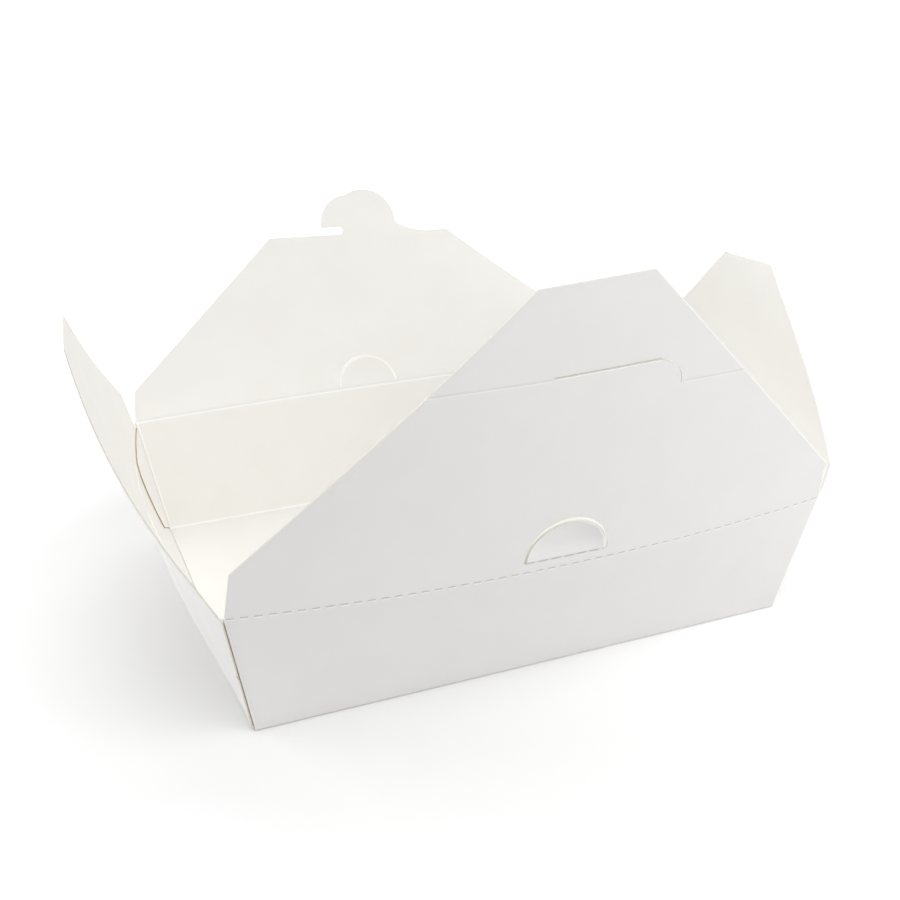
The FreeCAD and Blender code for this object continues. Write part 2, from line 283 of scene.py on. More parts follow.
@dataclass(frozen=True)
class CoatedFace:
    """Clay-coated face of bleached folding board.

    The coat is smooth and nearly matt. Under soft light it shows a faint cloudiness
    from the pulp, a fine felt texture, the marks of the die, and painted highlights and shade along
    cuts, folds and joints.
    """

    name: str
    face: str
    cloud: str  # its colour over denser pulp
    roughness: float
    specular: float
    marks: tuple[Mark | RoundMark, ...] = ()
    cloud_size: float = 18.0  # mm, width of a pulp cloud
    felt_size: float = 1.1  # mm, width of the felt's grain, drawn coarse enough to show
    felt_depth: float = 0.012  # mm, depth of that grain
    uneven: float = 0.04  # how far the roughness strays from its middle over a cloud

    def make(self) -> Material:
        """Builds the material.

        Returns:
            The material, reading object coordinates and the panel's own flat map.
        """
        material = blank_material(self.name)
        tree = material.node_tree
        place = add_node(tree, "TexCoord").outputs["Object"]
        clouds = add_node(
            tree, "TexNoise",
            {"Vector": place, "Scale": 1 / (self.cloud_size * MM), "Detail": 3.0,
             "Roughness": 0.55})
        felt = add_node(
            tree, "TexNoise",
            {"Vector": place, "Scale": 1 / (self.felt_size * MM), "Detail": 2.0, "Roughness": 0.6})
        spread, roughness = (
            add_node(tree, "MapRange", {0: clouds, 1: 0.3, 2: 0.7, 3: low, 4: high})
            for low, high in (
                (0.0, 1.0), (self.roughness - self.uneven, self.roughness + self.uneven)))
        colour = add_node(
            tree, "Mix",
            {0: spread, 6: linear(self.face), 7: linear(self.cloud)}, data_type="RGBA").outputs[2]
        height = add_node(tree, "Math", {0: felt, 1: self.felt_depth * MM}, operation="MULTIPLY")
        if self.marks:
            flat = add_node(tree, "UVMap", {}, uv_map="flat").outputs[0]
        for mark in self.marks:
            shown = mark.mask(tree, flat)
            tint, strength, lift = mark.kind.value
            share = add_node(tree, "Math", {0: shown, 1: strength}, operation="MULTIPLY")
            colour = add_node(
                tree, "Mix", {0: share, 6: colour, 7: linear(tint)}, data_type="RGBA").outputs[2]
            height = add_node(
                tree, "Math", {0: shown, 1: lift * MM, 2: height}, operation="MULTIPLY_ADD")
        board_surface(tree, colour, height, roughness, self.specular)
        return material


@dataclass(frozen=True)
class RawEdge:
    """Die-cut edge of the board: bare pulp, tan in the shade, fibrous and dry."""

    name: str
    pulp: str
    shade: str  # its colour between the fibres
    fibre_size: float = 0.9
    fibre_depth: float = 0.05  # mm, how far the bundles stand out
    roughness: float = 0.9
    specular: float = 0.2

    def make(self) -> Material:
        """Builds the material.

        Returns:
            The material, reading object coordinates.
        """
        material = blank_material(self.name)
        tree = material.node_tree
        place = add_node(tree, "TexCoord").outputs["Object"]
        fibre = add_node(
            tree, "TexNoise", {"Vector": place, "Scale": 1 / (self.fibre_size * MM), "Detail": 3.0})
        colour = add_node(
            tree, "Mix",
            {0: fibre, 6: linear(self.pulp), 7: linear(self.shade)}, data_type="RGBA").outputs[2]
        height = add_node(tree, "Math", {0: fibre, 1: self.fibre_depth * MM}, operation="MULTIPLY")
        board_surface(tree, colour, height, self.roughness, self.specular)
        return material


INSIDE = CoatedFace("bleached_board_inside", "#f2f1ed", "#f1efeb", 0.62, 0.35)
OUTSIDE = CoatedFace("clay_coated_board", "#efeeec", "#edecea", 0.5, 0.45)
CUT_EDGE = RawEdge("cut_board_edge", "#f1eee8", "#e2d9c9")
# painted shade: the glue tabs' rims are browner than the other cut edges, for the shade along the step
# where a tab lies on its wall
SHADED_TAB_EDGE = RawEdge("shaded_tab_edge", "#c2ac88", "#9c8461")


@cache
def skin(finish: CoatedFace | RawEdge) -> Material:
    """A finish's material, made once and shared."""
    return finish.make()


def marked(finish: CoatedFace, panel: str, marks: tuple[Mark | RoundMark, ...]) -> Material:
    """A face's material with a panel's own marks.

    Args:
        finish: The plain face.
        panel: The panel's name, which is added to the material's.
        marks: The panel's marks.

    Returns:
        The marked material, or the plain one where there are no marks.
    """
    if not marks:
        return skin(finish)
    return skin(replace(finish, name=finish.name + "_" + panel, marks=marks))


# Flat cutting


@dataclass(frozen=True)
class Corner:
    """Corner of a cut outline, in millimetres on the flat board, with its radius."""

    across: float
    up: float
    radius: float = 0.0

    @property
    def segments(self) -> int:
        """Straight stretches that draw the rounded corner."""
        return max(3, min(18, int(self.radius * 1.5) + 2))


@dataclass(frozen=True)
class FoldLine:
    """Line across a flat panel through two points, in millimetres."""

    start: Pair
    end: Pair


def cut_loop(bm: BMesh, corners: list[Corner]) -> None:
    """Adds the closed outline of some board or of a hole, its corners rounded.

    Args:
        bm: The mesh to add edges to.
        corners: The outline's corners in order.
    """
    made = [bm.verts.new((c.across * MM, c.up * MM, 0.0)) for c in corners]
    bm.faces.new(made)
    spots = [v.co.copy() for v in made]
    keep = set(bm.verts) - set(made)
    for place, corner in enumerate(corners):
        if corner.radius <= 0:
            continue
        spot = spots[place]
        before = (spots[place - 1] - spot).normalized()
        after = (spots[(place + 1) % len(corners)] - spot).normalized()
        tangent = corner.radius * MM / math.tan(before.angle(after) / 2)
        vert = min(
            (v for v in bm.verts if v not in keep), key=lambda v: (v.co - spot).length)
        bmesh.ops.bevel(
            bm, geom=[vert], offset=tangent, offset_type="OFFSET", affect="VERTICES",
            segments=corner.segments, profile=0.5, material=-1, clamp_overlap=False)
    bmesh.ops.delete(bm, geom=bm.faces[:], context="FACES_ONLY")


def cell_cuts(bm: BMesh, cell: float) -> list[tuple[Vector, Vector]]:
    """Planes that cut a flat panel into cells.

    Args:
        bm: The flat panel.
        cell: Size of a cell, mm.

    Returns:
        A point and the direction square to each plane: first the upright cuts, evenly
        to both sides of the middle, then the level ones, from the foot up.
    """
    cuts = []
    step = cell * MM
    for axis, way in ((0, Vector((1, 0, 0))), (1, Vector((0, 1, 0)))):
        low = min(v.co[axis] for v in bm.verts)
        high = max(v.co[axis] for v in bm.verts)
        count = int((high - low) / step)
        start = low if axis else (high + low - count * step) / 2
        levels = (start + step * number for number in range(count + 1))
        cuts += [
            (way * level, way) for level in levels
            if low + 10 * TOUCH < level < high - 10 * TOUCH]
    return cuts


# Standing and bowing


@dataclass(frozen=True)
class Stand:
    """Where a panel stands: the middle of its crease, its turn and its lean."""

    crease: Triple  # mm, middle of the crease line
    turn: float  # degrees round the vertical, 0 for a panel on the front
    lean: float  # degrees out of the vertical

    @property
    def along(self) -> Vector:
        """Direction along the crease, to the panel's own right seen from outside."""
        return Matrix.Rotation(math.radians(self.turn), 3, "Z") @ Vector((1, 0, 0))

    @property
    def away(self) -> Vector:
        """Level direction away from the box."""
        return Matrix.Rotation(math.radians(self.turn), 3, "Z") @ Vector((0, -1, 0))

    @property
    def rising(self) -> Vector:
        """Direction up the panel."""
        lean = math.radians(self.lean)
        return self.away * math.sin(lean) + Vector((0, 0, math.cos(lean)))

    @property
    def outward(self) -> Vector:
        """Direction square to the panel, out of the box."""
        lean = math.radians(self.lean)
        return self.away * math.cos(lean) - Vector((0, 0, math.sin(lean)))

    @property
    def foot(self) -> Vector:
        """The crease's middle, in metres."""
        return Vector(self.crease) * MM

    def place(self, across: float, up: float, out: float) -> Vector:
        """A point of the standing panel.

        Args:
            across: Metres along the crease.
            up: Metres up the panel.
            out: Metres out of its plane.

        Returns:
            The point in the shared frame.
        """
        return self.foot + self.along * across + self.rising * up + self.outward * out


@dataclass(frozen=True)
class Bow:
    """How far stiff board stands out of its flat plane, fullest at the open crease."""

    depth: float  # mm, most it stands out, at the middle of the crease
    half: float  # mm, half the crease's length
    reach: float  # mm, height over which the bow dies away
    twist: float = 0.0  # degrees that the panel leans more at its own right end, less at its left
    belly: float = 0.0  # mm, most that it curls out between crease and top edge
    curl: float = 0.0  # mm, most that it curls out low down, above the crease
    lean_in: float = 0.0  # mm, how much more the belly is at its own right end

    def out(self, across: float, up: float) -> float:
        """How far a place of the flap stands out of its plane.

        Args:
            across: Metres along the crease.
            up: Metres up the flap.

        Returns:
            Metres out of the plane.
        """
        share = across / (self.half * MM)
        rise = up / (self.reach * MM)
        # 4 and 6.75 bring the highest point of these two curves to one
        curve = self.depth * MM * (1 - share * share) * (1 - rise * rise)
        belly = (self.belly + self.lean_in * share) * MM * 4 * rise * (1 - rise)
        curl = self.curl * MM * 6.75 * rise * (1 - rise) ** 2
        return curve + belly + curl + math.tan(math.radians(self.twist)) * share * up


class Sheet:
    """A panel of board: its flat mesh, folded to its form and dressed."""

    def __init__(self, name: str) -> None:
        """Starts an empty flat panel with the piece's name."""
        self.name = name
        self.bm = bmesh.new()

    def cut(self, *loops: list[Corner]) -> "Sheet":
        """Cuts the outline and its holes.

        Args:
            loops: Outlines of board and holes.

        Returns:
            This sheet.
        """
        for corners in loops:
            cut_loop(self.bm, corners)
        return self

    def fill(self, cell: float = CELL, folds: tuple[FoldLine, ...] = ()) -> "Sheet":
        """Fills the outlines with board, in small cells so that it can bow.

        Each point's place on the flat board is kept as the map called flat.

        Args:
            cell: Size of a cell, mm.
            folds: More lines to cut at, such as round a rounded fold.

        Returns:
            This sheet.
        """
        bm = self.bm
        bmesh.ops.remove_doubles(bm, verts=bm.verts, dist=TOUCH)
        bmesh.ops.triangle_fill(bm, use_beauty=True, use_dissolve=False, edges=bm.edges)
        for face in bm.faces:
            if face.normal.z < 0:
                face.normal_flip()
        cuts = cell_cuts(bm, cell)
        for line in folds:
            start = Vector((*line.start, 0))
            run = Vector((*line.end, 0)) - start
            cuts.append((start * MM, run.cross(Vector((0, 0, 1)))))
        for point, normal in cuts:
            made = bmesh.ops.bisect_plane(
                bm, geom=bm.verts[:] + bm.edges[:] + bm.faces[:], dist=2 * TOUCH,
                plane_co=point, plane_no=normal)
            for part in made["geom_cut"]:
                if isinstance(part, BMEdge):
                    part.seam = True
        # only the cuts stay, not the lines that the filling drew
        bmesh.ops.dissolve_limit(
            bm, angle_limit=math.radians(0.5), use_dissolve_boundaries=False,
            verts=bm.verts, edges=bm.edges, delimit={"SEAM"})
        for edge in bm.edges:
            edge.seam = False
        layer = bm.loops.layers.uv.new("flat")
        for face in bm.faces:
            for loop in face.loops:
                loop[layer].uv = loop.vert.co.xy
        return self

    def shape(self, move: Callable[[Vector], Vector]) -> "Sheet":
        """Moves every point from the flat board to its folded place.

        Args:
            move: Gives a flat point's folded place.

        Returns:
            This sheet.
        """
        for vert in self.bm.verts:
            vert.co = move(vert.co)
        return self

    def join(self, other: "Sheet") -> "Sheet":
        """Takes in another folded sheet of the same board.

        Args:
            other: The other sheet, which is used up.

        Returns:
            This sheet.
        """
        mesh = bpy.data.meshes.new(other.name)
        other.bm.to_mesh(mesh)
        other.bm.free()
        self.bm.from_mesh(mesh)
        bpy.data.meshes.remove(mesh)
        return self

    def finish(self, outward: Vector, skins: list[Material]) -> Object:
        """Makes the piece, its board thickened and its cut edges eased.

        Args:
            outward: Direction in which the faces look and the board thickens.
            skins: Materials of the outer face, the inner face and the rim.

        Returns:
            The finished object.
        """
        self.bm.normal_update()
        for face in self.bm.faces:
            face.smooth = True
            if face.normal.dot(outward) < 0:
                face.normal_flip()
        mesh = bpy.data.meshes.new(self.name)
        self.bm.to_mesh(mesh)
        self.bm.free()
        piece = bpy.data.objects.new(self.name, mesh)
        bpy.context.scene.collection.objects.link(piece)
        for material in skins:
            mesh.materials.append(material)
        thick = piece.modifiers.new("board", "SOLIDIFY")
        thick.thickness = BOARD * MM
        thick.offset = 1.0
        thick.use_even_offset = True
        thick.material_offset = 1
        thick.material_offset_rim = 2
        ease = piece.modifiers.new("edges", "BEVEL")
        ease.width = EASE * MM
        ease.segments = 1
        ease.limit_method = "ANGLE"
        ease.angle_limit = math.radians(SHARP)
        ease.harden_normals = True
        return piece


def flatten_with(piece: Object, joint: str, stand: Stand) -> None:
    """Gives the piece its own copy of its mesh.

    Args:
        piece: The finished piece.
        joint: The flap's joint; not used.
        stand: Where the piece stands.
    """
    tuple(stand.outward)
    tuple(stand.foot)
    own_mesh(piece)


# Lid flaps


@dataclass
class Flap:
    """A lid flap: square lugs at the crease, slanted edges, a straight top edge.

    Sizes are millimetres on the flat flap, measured from its crease.
    """

    name: str
    joint: str
    stand: Stand
    bow: Bow
    half: float  # half the crease's length
    lug: float
    reach: float
    top: float
    shift: float = 0.0  # how far the top edge's middle is to the flap's own right
    slant: float = 0.0  # how much higher the top edge's own right end is than its middle
    draft: float = 1.8  # how much a lug narrows to its top
    side_gap: float = 0.7  # room left at each end of the crease
    foot_gap: float = 0.9  # board that the bent crease takes up
    lug_round: float = 1.5
    tip_round: float = 1.2  # radius at the ends of the top edge

    @property
    def shoulder(self) -> float:
        """Half the width across the tops of the lugs."""
        return self.half - self.side_gap - self.draft

    def outline(self) -> list[Corner]:
        """Corners of the flap, counter-clockwise from the left end of the crease.

        Returns:
            The corners.
        """
        foot = self.half - self.side_gap
        right, left = self.shift + self.top / 2, self.shift - self.top / 2
        return [
            Corner(-foot, self.foot_gap),
            Corner(foot, self.foot_gap),
            Corner(self.shoulder, self.lug, self.lug_round),
            Corner(right, self.reach + self.slant, self.tip_round),
            Corner(left, self.reach - self.slant, self.tip_round),
            Corner(-self.shoulder, self.lug, self.lug_round),
        ]

    def holes(self) -> list[list[Corner]]:
        """Outlines cut out of the flap; a plain one has none."""
        return []

    def tabs(self) -> list[Sheet]:
        """Tabs cut in the flap, already folded out of it; a plain one has none."""
        return []

    def marks(self) -> tuple[Mark | RoundMark, ...]:
        """Marks on the flap; a plain one has none."""
        return ()

    def standing(self, point: Vector) -> Vector:
        """A flat point's place on the open, bowed flap."""
        return self.stand.place(point.x, point.y, self.bow.out(point.x, point.y) + point.z)

    def build(self) -> Object:
        """Cuts, bows and dresses the flap, and hangs it on its crease.

        Returns:
            The finished flap.
        """
        sheet = Sheet(self.name + "_board").cut(self.outline(), *self.holes())
        sheet.fill().shape(self.standing)
        for tab in self.tabs():
            sheet.join(tab)
        skins = [marked(face, self.name, self.marks()) for face in (OUTSIDE, INSIDE)]
        piece = sheet.finish(self.stand.outward, skins + [skin(CUT_EDGE)])
        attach(piece, self.name)
        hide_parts(self.name)
        flatten_with(piece, self.joint, self.stand)
        return piece


@dataclass
class HalfMoon:
    """Half-moon vent tab, cut on its curve and folded on its chord."""

    shift: float  # mm, middle of the chord from the flap's middle
    chord: float  # mm, height of the chord above the crease
    radius: float
    tilt: float  # degrees that the tab stands out of the flap; negative for inward
    dish: float  # mm, how deep a thumb has dished the tab; negative for outward
    kerf: float = 0.35
    cell: float = 1.5  # mm, size of the tab's cells

    def half_disc(self, radius: float) -> list[Corner]:
        """Outline of a half disc on the chord.

        Args:
            radius: Its radius, mm.

        Returns:
            The corners, the upper two so round that they all but meet.
        """
        left, right = self.shift - radius, self.shift + radius
        return [
            Corner(left, self.chord),
            Corner(right, self.chord),
            Corner(right, self.chord + radius, radius * 0.999),
            Corner(left, self.chord + radius, radius * 0.999),
        ]

    def tab(self, name: str, standing: Callable[[Vector], Vector]) -> Sheet:
        """The tab, tilted on its chord and put on its flap.

        Args:
            name: Name of the tab's sheet.
            standing: Puts a flat point on the bowed flap.

        Returns:
            The folded tab.
        """
        lean = math.radians(self.tilt)

        def fold(point: Vector) -> Vector:
            """Tilts and dishes a flat point of the tab, then stands it with the flap.

            Args:
                point: The flat point, in metres.

            Returns:
                Its place in the shared frame.
            """
            up = point.y - self.chord * MM
            spot = Vector((point.x / MM - self.shift, up / MM)) / self.radius
            # the dish dies away to the cut and to the chord
            share = max(0.0, 1 - spot.length ** 4) * min(1.0, spot.y * 3)
            out = up * math.sin(lean) - share * self.dish * MM
            return standing(Vector((point.x, self.chord * MM + up * math.cos(lean), out)))

        sheet = Sheet(name).cut(self.half_disc(self.radius - self.kerf))
        return sheet.fill(self.cell).shape(fold)

    def rim(self, kind: MarkKind, inset: float, half_width: float, side: int = 0) -> RoundMark:
        """A mark round the tab's curve, inset from its cut by some millimetres."""
        return RoundMark(kind, (self.shift, self.chord), self.radius - inset, half_width, side)


@dataclass
class FrontFlap(Flap):
    """The tall front flap, with the half-moon and the slit that takes the hook."""

    moon: HalfMoon = field(default_factory=lambda: HalfMoon(2.0, 4.5, 15.0, 4.5, 2.2))
    slit_start: float = -10.1  # mm, where the slit starts, from the flap's middle
    slit_run: float = 35.0  # mm, its straight length
    slit_turn: float = 9.5  # mm, radius of its turned-down end
    slit_width: float = 0.3
    slit_up: float = 72.3
    slit_dip: float = 1.1  # mm, how much lower its start is
    score_with_shade_left: float = 71.1  # mm, height of the score to the slit's left
    score_with_shade_right: float = 63.5  # mm, height of the score to its right
    score_with_shade_from: float = 36.0  # mm, where that one starts

    def holes(self) -> list[list[Corner]]:
        """The half-moon's cut and the slit with its turned-down end.

        Returns:
            The two outlines.
        """
        half = self.slit_width / 2
        far = self.slit_start + self.slit_run + self.slit_turn
        low = self.slit_up - self.slit_turn
        start = self.slit_up - self.slit_dip
        slit = [
            Corner(self.slit_start, start - half),
            Corner(far - half, self.slit_up - half, self.slit_turn - half),
            Corner(far - half, low),
            Corner(far + half, low),
            Corner(far + half, self.slit_up + half, self.slit_turn + half),
            Corner(self.slit_start, start + half),
        ]
        return [self.moon.half_disc(self.moon.radius), slit]

    def tabs(self) -> list[Sheet]:
        """The half-moon tab, standing outward."""
        return [self.moon.tab("front_moon", self.standing)]

    def marks(self) -> tuple[Mark | RoundMark, ...]:
        """The scores with their painted shade, and painted highlights along the scores, the slit, the
        right edges and the half-moon's rim, with painted shade on the rim's left half.

        Returns:
            The marks, a later one over an earlier one.
        """
        near = self.slit_start
        far = near + self.slit_run + 1.1
        up = self.slit_up
        chord = self.moon.chord - 0.1
        chord_half = self.moon.radius - 0.5
        made = []
        for left, right, level in (
            (-self.half, near - 0.4, self.score_with_shade_left),
            (self.score_with_shade_from, self.half, self.score_with_shade_right),
        ):
            # each score, and a painted highlight along its lower side
            made += [
                Mark(MarkKind.SCORE_WITH_SHADE, (left, level), (right, level), 0.7),
                Mark(MarkKind.PAINTED_HIGHLIGHT, (left, level - 0.7), (right, level - 0.7), 0.3),
            ]
        return (
            *made,
            # the slit's cut line, then a painted highlight along its lower lip
            Mark(MarkKind.TICK_AND_SHADE, (near, up - 0.85), (far, up + 0.2), 0.25),
            Mark(MarkKind.PAINTED_HIGHLIGHT, (near, up - 1.55), (far, up - 0.45), 0.35),
            # painted highlight along the right lug's edge and the right slanted edge, where their cut
            # edges catch the light
            Mark(MarkKind.PAINTED_HIGHLIGHT, (self.shoulder + 1.6, 0.6), (self.shoulder - 0.2, self.lug - 0.2), 0.5),
            Mark(
                MarkKind.PAINTED_HIGHLIGHT, (self.shoulder - 0.3, self.lug + 0.1),
                (self.shift + self.top / 2 + 0.1, self.reach + 0.3), 0.5),
            Mark(
                MarkKind.TICK_AND_SHADE, (self.moon.shift - chord_half, chord),
                (self.moon.shift + chord_half, chord), 0.35, 4.6, 3.4),
            # the half-moon's rim: painted highlight on its right, lit half, painted shade on its left
            # half
            self.moon.rim(MarkKind.PAINTED_HIGHLIGHT, 0.9, 0.8, 1),
            self.moon.rim(MarkKind.TICK_AND_SHADE, 0.6, 0.7, -1),
        )


@dataclass
class BackFlap(Flap):
    """The back flap, with the half-moon and the hook on its top edge."""

    moon: HalfMoon = field(default_factory=lambda: HalfMoon(5.7, 1.7, 13.8, -5.0, -0.8))
    hook_barb: float = 16.0  # mm, reach of the barb to the flap's own right
    hook_side: float = 18.2  # mm, reach of the hook's round side to its left
    hook_slot: float = 3.2  # mm, height of the slot under the barb
    slot_depth: float = 9.6  # mm, how far the slot runs in under the barb
    hook_top: float = 86.1  # mm, height of the hook's head

    def outline(self) -> list[Corner]:
        """The flap's corners with the hook's among them.

        The flap is seen from outside, so the barb, on the left for someone in front
        of the box, is on the flap's own right.

        Returns:
            The corners.
        """
        plain = super().outline()
        low = self.reach + self.slant * 0.2
        neck = self.hook_barb - self.slot_depth
        barb = low + self.hook_slot
        slot_round = self.hook_slot * 0.48
        head = self.hook_top
        hook = [
            # the slot, with a round end
            Corner(neck, low, slot_round),
            Corner(neck, barb, slot_round),
            # the barb and the round head, with a shallow dip in its crown
            Corner(self.hook_barb, barb + 0.2, 0.4),
            Corner(self.hook_barb, head - 1.6, 12.0),
            Corner(3.9, head - 1.4, 1.0),
            Corner(0.0, head + 0.3, 5.0),
            Corner(-self.hook_side, head + 0.7, 14.2),
            # the hollow that leads back to the top edge
            Corner(-self.hook_side + 0.3, self.reach + 3.3, 2.5),
            Corner(-25.0, self.reach - 0.1, 4.0),
            Corner(-31.5, self.reach - 1.4, 5.0),
        ]
        return plain[:4] + hook + plain[4:]

    def holes(self) -> list[list[Corner]]:
        """The half-moon's cut."""
        return [self.moon.half_disc(self.moon.radius)]

    def tabs(self) -> list[Sheet]:
        """The half-moon tab, standing inward."""
        return [self.moon.tab("back_moon", self.standing)]

    def marks(self) -> tuple[Mark | RoundMark, ...]:
        """The painted highlight over the crease, and the painted highlight round the half-moon's rim.

        Returns:
            The marks.
        """
        return (
            Mark(MarkKind.PAINTED_HIGHLIGHT, (-self.half, 0.6), (self.half, 0.6), 0.8),
            self.moon.rim(MarkKind.PAINTED_HIGHLIGHT, 0.9, 0.8),
        )


# Tray


@dataclass
class Wall:
    """A wall of the tray, folded up from the base, its upper edge bowed."""

    name: str
    joint: str
    stand: Stand  # where it stands, on the inside corner of its fold
    foot: float  # mm, half its width at the fold
    head: float  # mm, half its width at the top
    height: float  # mm, its height up the slope
    depth: float  # mm, bow at the middle of its top edge
    turned: bool  # whether its ends turn in round the corners
    swell: float = 1.0  # how soon the bow comes up the wall, 1 for evenly
    nick: float = 0.0  # mm, height of a nick in its own right end, or 0
    marks: tuple[Mark, ...] = ()  # more marks on its outer face
    fold: float = FOLD  # mm, half the length of board taken by a rounded fold

    def edge(self, up: float) -> float:
        """Half the wall's width at a height, both in metres."""
        share = up / (self.height * MM)
        return (self.foot + (self.head - self.foot) * share) * MM

    def bowed(self, across: float, up: float) -> Vector:
        """The place of a flat point on the bowed wall.

        Args:
            across: Metres along the fold.
            up: Metres up the wall.

        Returns:
            The point in the shared frame.
        """
        share = max(0.0, min(1.0, up / (self.height * MM)))
        level = max(0.0, 1 - (across / self.edge(up)) ** 2)
        swell = 1 - (1 - share) ** self.swell
        return self.stand.place(across, up, self.depth * MM * level * swell)

    def folded(self, point: Vector) -> Vector:
        """The place of a flat point, folds at the foot and the ends rounded.

        Args:
            point: The flat point, in metres.

        Returns:
            The point in the shared frame.
        """
        half = self.fold * MM
        sign = 1 if point.x >= 0 else -1
        up = max(point.y, half)
        over = abs(point.x) - self.edge(up)
        if self.turned and over > -half:
            step = min(1.0, (over + half) / (2 * half))
            start = self.bowed(sign * (self.edge(up) - half), up)
            corner = self.bowed(sign * self.edge(up), up)
            end = corner - self.stand.away * half
            spot = start.lerp(corner, step).lerp(corner.lerp(end, step), step)
        else:
            spot = self.bowed(point.x, up)
        if point.y >= half:
            return spot
        step = max(0.0, (point.y + half) / (2 * half))
        level = spot - self.stand.rising * half
        inner = level - self.stand.away * half
        return inner.lerp(level, step).lerp(level.lerp(spot, step), step)

    def outline(self) -> list[Corner]:
        """Corners of the flat wall, with the board that its folds take.

        Returns:
            The corners.
        """
        half = self.fold
        side = half if self.turned else 0.0
        slope = (self.head - self.foot) / self.height
        low = self.foot - slope * half + side
        top = self.head + side
        corners = [
            Corner(-low, -half), Corner(low, -half), Corner(low, half),
            Corner(top, self.height), Corner(-top, self.height), Corner(-low, half),
        ]
        if self.nick:
            at = self.foot + slope * self.nick
            corners[3:3] = [
                Corner(at - 0.1, self.nick - 1.3), Corner(at - 1.5, self.nick),
                Corner(at + 0.1, self.nick + 0.4)]
        return corners

    def fold_lines(self) -> tuple[FoldLine, ...]:
        """Lines that let the folds be round.

        Returns:
            Lines along the foot, and up both ends where they turn in.
        """
        offs = [self.fold * step / 3 for step in range(-3, 4)]
        lines = [FoldLine((-1, off), (1, off)) for off in offs[1:]]
        if self.turned:
            lines += [
                FoldLine((sign * (self.foot + off), 0), (sign * (self.head + off), self.height))
                for sign in (1, -1) for off in offs[:-1]]
        return tuple(lines)

    def skins(self) -> list[Material]:
        """Materials of the outer face, the inner face and the rim.

        Returns:
            The three, with painted highlights over the folds and painted shade in the joints
            where the ends turn in.
        """
        top = self.height - 0.4
        outer = list(self.marks)
        # painted highlights along the inside of the foot fold and of the top crease
        inner = [
            Mark(MarkKind.PAINTED_HIGHLIGHT, (-self.foot, 0.6), (self.foot, 0.6), 0.6),
            Mark(MarkKind.PAINTED_HIGHLIGHT, (-self.head, top), (self.head, top), 0.7),
        ]
        # over each turned end: a painted highlight on the fold outside, painted shade in the joint
        # beside it, a painted highlight on the fold inside
        for sign in (1, -1) if self.turned else ():
            for face, kind, off, half_width in (
                (outer, MarkKind.PAINTED_HIGHLIGHT, -0.1, 0.4),
                (outer, MarkKind.CUT, 0.52, 0.35),
                (inner, MarkKind.PAINTED_HIGHLIGHT, -0.5, 0.45),
            ):
                face.append(Mark(
                    kind, (sign * (self.foot + off), 0.0),
                    (sign * (self.head + off), self.height), half_width))
        return [
            marked(OUTSIDE, self.name, tuple(outer)), marked(INSIDE, self.name, tuple(inner)),
            skin(CUT_EDGE)]

    def build(self) -> Object:
        """Cuts, folds and dresses the wall.

        Returns:
            The finished wall.
        """
        sheet = Sheet(self.name).cut(self.outline())
        sheet.fill(CELL, self.fold_lines()).shape(self.folded)
        piece = sheet.finish(self.stand.outward, self.skins())
        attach(piece, "tray")
        flatten_with(piece, self.joint, self.stand)
        return piece


@dataclass
class GlueTab:
    """Corner tab, turned in from a long wall and glued flat inside an end wall."""

    name: str
    wall: Wall  # the end wall that it is glued to
    side: int  # 1 for the wall's own right end, -1 for its left
    widths: tuple[Pair, ...]  # mm, pairs of height up the wall and width of the tab there
    cell: float = 3.0  # mm, size of its cells

    def build(self) -> Object:
        """Cuts the tab and lays it on the bowed wall.

        Returns:
            The finished tab.
        """
        edges = [(up, self.wall.edge(up * MM) / MM, width) for up, width in self.widths]
        outer = [
            Corner(self.side * (edge - 0.2), up) for up, edge, width in (edges[0], edges[-1])]
        inner = [
            Corner(self.side * (edge - width), up, 0.8) for up, edge, width in reversed(edges)]
        sheet = Sheet(self.name).cut(outer + inner).fill(self.cell)
        sheet.shape(lambda point: self.wall.bowed(point.x, point.y))
        stand = self.wall.stand
        # the tab's rim takes the browner edge of painted shade
        piece = sheet.finish(-stand.outward, [skin(INSIDE), skin(INSIDE), skin(SHADED_TAB_EDGE)])
        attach(piece, "tray")
        flatten_with(piece, self.wall.joint, stand)
        return piece


@dataclass
class Base:
    """The flat base between the folds of the walls."""

    long: float  # mm, half its inside length
    wide: float  # mm, half its inside width
    fold: float = FOLD  # mm, board taken by each fold
    cell: float = 12.0  # mm, size of its cells

    def build(self) -> Object:
        """Cuts and dresses the base.

        Returns:
            The finished base.
        """
        across = self.long - self.fold
        up = self.wide - self.fold
        sheet = Sheet("base_board").cut([
            Corner(-across, -up), Corner(across, -up), Corner(across, up), Corner(-across, up)])
        sheet.fill(self.cell).shape(lambda point: Vector((point.x, point.y, BOARD * MM)))
        piece = sheet.finish(Vector((0, 0, -1)), [skin(OUTSIDE), skin(INSIDE), skin(CUT_EDGE)])
        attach(piece, "tray")
        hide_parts("tray")
        return piece


@dataclass
class CreaseBend:
    """The bent strip of board along a flap's crease, between wall and flap."""

    name: str
    wall: Wall
    lean: float  # degrees that the strip leans out, between its wall's lean and its flap's
    marks: tuple[Mark, ...] = ()  # perforation cuts along the strip
    low: float = 0.1  # mm, how far it reaches down over the wall
    high: float = 0.92  # mm, how far it reaches up over the flap
    end_gap: float = 0.3  # mm, room left at each end

    def build(self) -> Object:
        """Cuts the strip and bows it with the wall.

        Returns:
            The finished strip.
        """
        half = self.wall.head - self.end_gap
        top = self.wall.height * MM
        rising = replace(self.wall.stand, lean=self.lean).rising
        sheet = Sheet(self.name).cut([
            Corner(-half, -self.low), Corner(half, -self.low),
            Corner(half, self.high), Corner(-half, self.high)])
        sheet.fill().shape(lambda point: self.wall.bowed(point.x, top) + rising * point.y)
        face = marked(OUTSIDE, self.name, self.marks)
        piece = sheet.finish(self.wall.stand.outward, [face, face, face])
        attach(piece, "tray")
        flatten_with(piece, self.wall.joint, self.wall.stand)
        return piece


